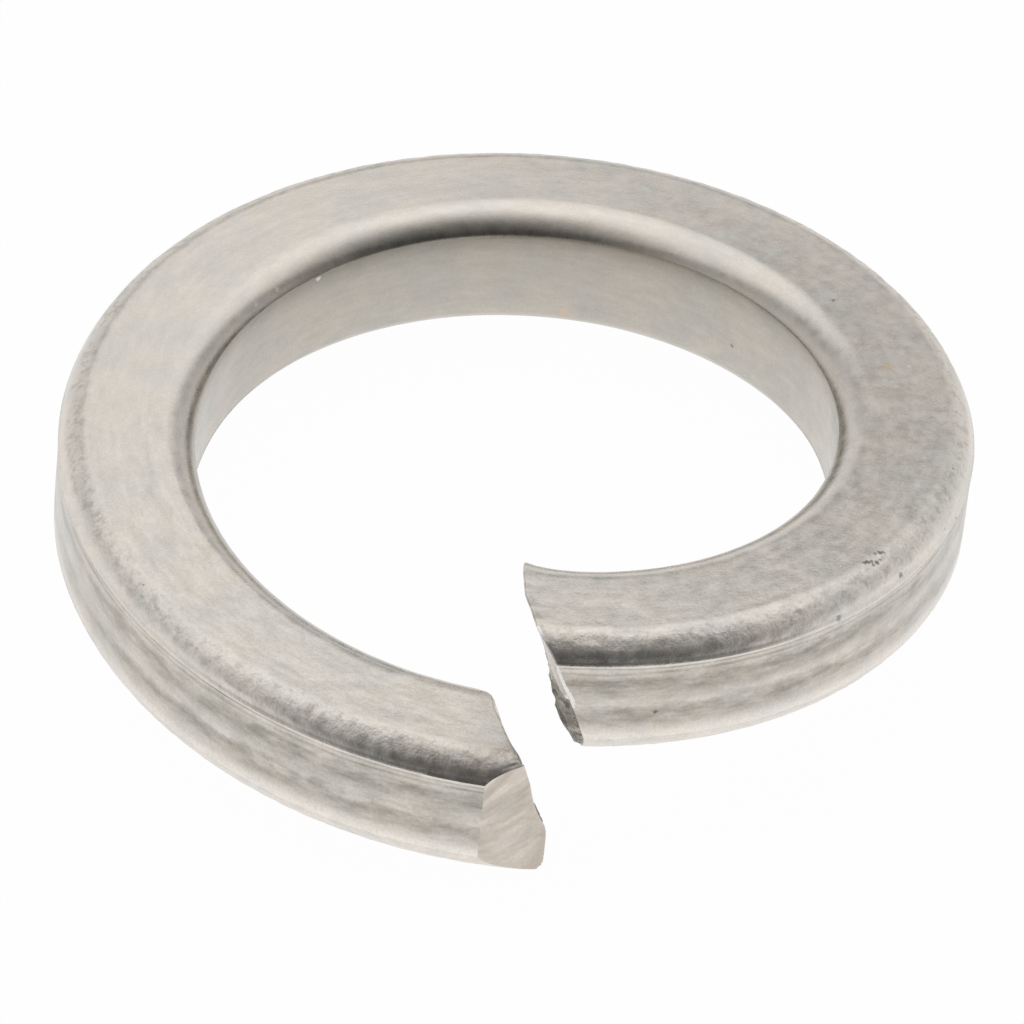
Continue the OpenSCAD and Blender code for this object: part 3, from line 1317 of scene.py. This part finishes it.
@dataclass(frozen=True)
class Studio:
    """A white sweep under soft light, open and dark on the side that the camera looks from."""

    # Plane that the tilted washer rests on, with its height at the origin in metres
    rest_normal: Triple = (-0.0659, -0.0968, 0.9931)
    rest_height: float = 0.00066
    # Side of the floor in metres, its grey, and how deep its shadow is seen and mirrored
    floor_side: float = 0.6
    paper: float = 0.9
    seen_shadow: float = 0.022
    mirrored_shadow: float = 0.06
    # Brightness of the tent by height, from the horizon to overhead
    sky: tuple[Span, ...] = (
        (0.0, 0.95),
        (0.2, 0.86),
        (0.42, 0.48),
        (0.5, 0.44),
        (0.55, 0.66),
        (0.61, 1.15),
        (0.7, 1.08),
        (1.0, 1.18),
    )
    # Dark side: its brightness, its middle, and the angles from there that it fades between
    dark: float = 0.15
    dark_azimuth: float = 8.0
    dark_elevation: float = 17.0
    dark_inner: float = 30.0
    dark_outer: float = 76.0

    def floor(self) -> bpy.types.Object:
        """Makes the floor, in the plane that the washer rests on.

        Returns:
            The floor.
        """
        half = self.floor_side / 2
        mesh = bpy.data.meshes.new("floor")
        corners = [(-half, -half, 0), (half, -half, 0), (half, half, 0), (-half, half, 0)]
        mesh.from_pydata(corners, [], [(0, 1, 2, 3)])
        floor = bpy.data.objects.new("floor", mesh)
        bpy.context.scene.collection.objects.link(floor)
        turn = Vector(self.rest_normal).to_track_quat("Z", "Y").to_matrix().to_4x4()
        floor.matrix_world = Matrix.Translation((0, 0, self.rest_height)) @ turn
        mesh.materials.append(self.floor_material())
        return floor

    def floor_material(self) -> bpy.types.Material:
        """Makes the paper that the camera and the steel see as white, less a faint shadow.

        Returns:
            The material.
        """
        material = bpy.data.materials.new("white_paper")
        material.use_nodes = True
        nodes = Nodes(material.node_tree)
        material.node_tree.nodes.remove(material.node_tree.nodes["Principled BSDF"])
        paper = nodes.add("ShaderNodeBsdfDiffuse", {"Color": rgba(*(self.paper,) * 3)})
        glow = nodes.add("ShaderNodeEmission", {})
        ray = nodes.add("ShaderNodeLightPath", {}).outputs
        direct = nodes.product(ray["Is Camera Ray"], 1.0 - self.seen_shadow)
        mirrored = nodes.product(ray["Is Glossy Ray"], 1.0 - self.mirrored_shadow)
        shown = nodes.math("MAXIMUM", direct, mirrored)
        inputs = {0: shown, 1: paper.outputs[0], 2: glow.outputs[0]}
        blend = nodes.add("ShaderNodeMixShader", inputs).outputs[0]
        output = material.node_tree.nodes["Material Output"]
        material.node_tree.links.new(blend, output.inputs["Surface"])
        return material

    def world(self) -> bpy.types.World:
        """Makes the light of a white tent, with its open side towards the camera.

        Returns:
            The world.
        """
        world = bpy.data.worlds.new("light_tent")
        world.use_nodes = True
        nodes = Nodes(world.node_tree)
        facing = nodes.add("ShaderNodeTexCoord", {}).outputs["Generated"]
        sky = nodes.add("ShaderNodeFloatCurve", {"Value": nodes.part(facing, "Z")})
        curve = sky.mapping.curves[0]
        top = max(level for _, level in self.sky)
        # A new curve has its two ends already
        for number, (height, level) in enumerate(self.sky):
            if 0 < number < len(self.sky) - 1:
                curve.points.new(height, level / top)
            else:
                curve.points[0 if number == 0 else -1].location = (height, level / top)
        sky.mapping.update()
        centre = direction(self.dark_azimuth, self.dark_elevation)
        near = nodes.vector("DOT_PRODUCT", facing, centre).outputs["Value"]
        outer, inner = (math.cos(math.radians(a)) for a in (self.dark_outer, self.dark_inner))
        shade = nodes.ramp(near, (outer, inner), (1.0, self.dark))
        level = nodes.product(sky.outputs[0], top, shade)
        seen = nodes.add("ShaderNodeLightPath", {}).outputs["Is Camera Ray"]
        background = world.node_tree.nodes["Background"]
        shown = nodes.math("MAXIMUM", seen, level)
        world.node_tree.links.new(shown, background.inputs["Strength"])
        background.inputs["Color"].default_value = rgba(1.0, 1.0, 1.0)
        bpy.context.scene.world = world
        return world


@dataclass(frozen=True)
class PhotoCamera:
    """The photograph's own viewpoint. Distances are in millimetres from the washer's target."""

    azimuth: float = -7.883
    elevation: float = 37.368
    roll: float = 6.017
    distance: float = 179.318
    target: Triple = (0.0, 0.0, 2.2)
    pixels_per_mm: float = 52.122
    # Pixels by which the target lies off the middle of the photograph
    offset_x: float = -2.9
    offset_y: float = -15.4
    sensor: float = 36.0
    # Nearest and furthest distance that is seen, in metres
    clip: Span = (0.01, 10.0)

    def build(self) -> bpy.types.Object:
        """Makes the camera and hands it to the scene.

        Returns:
            The camera.
        """
        azimuth, roll = math.radians(self.azimuth), math.radians(self.roll)
        back = Vector(direction(self.azimuth, self.elevation))
        right = Vector((math.cos(azimuth), math.sin(azimuth), 0))
        upward = back.cross(right)
        side = right * math.cos(roll) + upward * math.sin(roll)
        rise = upward * math.cos(roll) - right * math.sin(roll)
        data = bpy.data.cameras.new("photo_camera")
        data.sensor_width = self.sensor
        data.lens = self.pixels_per_mm * self.distance / PHOTO_SIDE * self.sensor
        data.shift_x = -self.offset_x / PHOTO_SIDE
        data.shift_y = self.offset_y / PHOTO_SIDE
        data.clip_start, data.clip_end = self.clip
        camera = bpy.data.objects.new("photo_camera", data)
        bpy.context.scene.collection.objects.link(camera)
        place = (Vector(self.target) + back * self.distance) * METRES
        turn = Matrix((side, rise, back)).transposed().to_4x4()
        camera.matrix_world = Matrix.Translation(place) @ turn
        bpy.context.scene.camera = camera
        return camera


def main() -> None:
    """Builds the washer, the studio and the camera in order."""
    logging.basicConfig(level=logging.INFO, format="%(name)s: %(message)s")
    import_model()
    washer = LockWasher().build()
    LOG.info("washer: %d faces", len(washer.data.polygons))
    studio = Studio()
    floor = studio.floor()
    LOG.info("floor: %s", floor.name)
    world = studio.world()
    LOG.info("light: %s", world.name)
    camera = PhotoCamera().build()
    LOG.info("camera: lens %.1f mm", camera.data.lens)
    bpy.context.scene.view_settings.view_transform = "Standard"


if __name__ == "__main__":
    main()
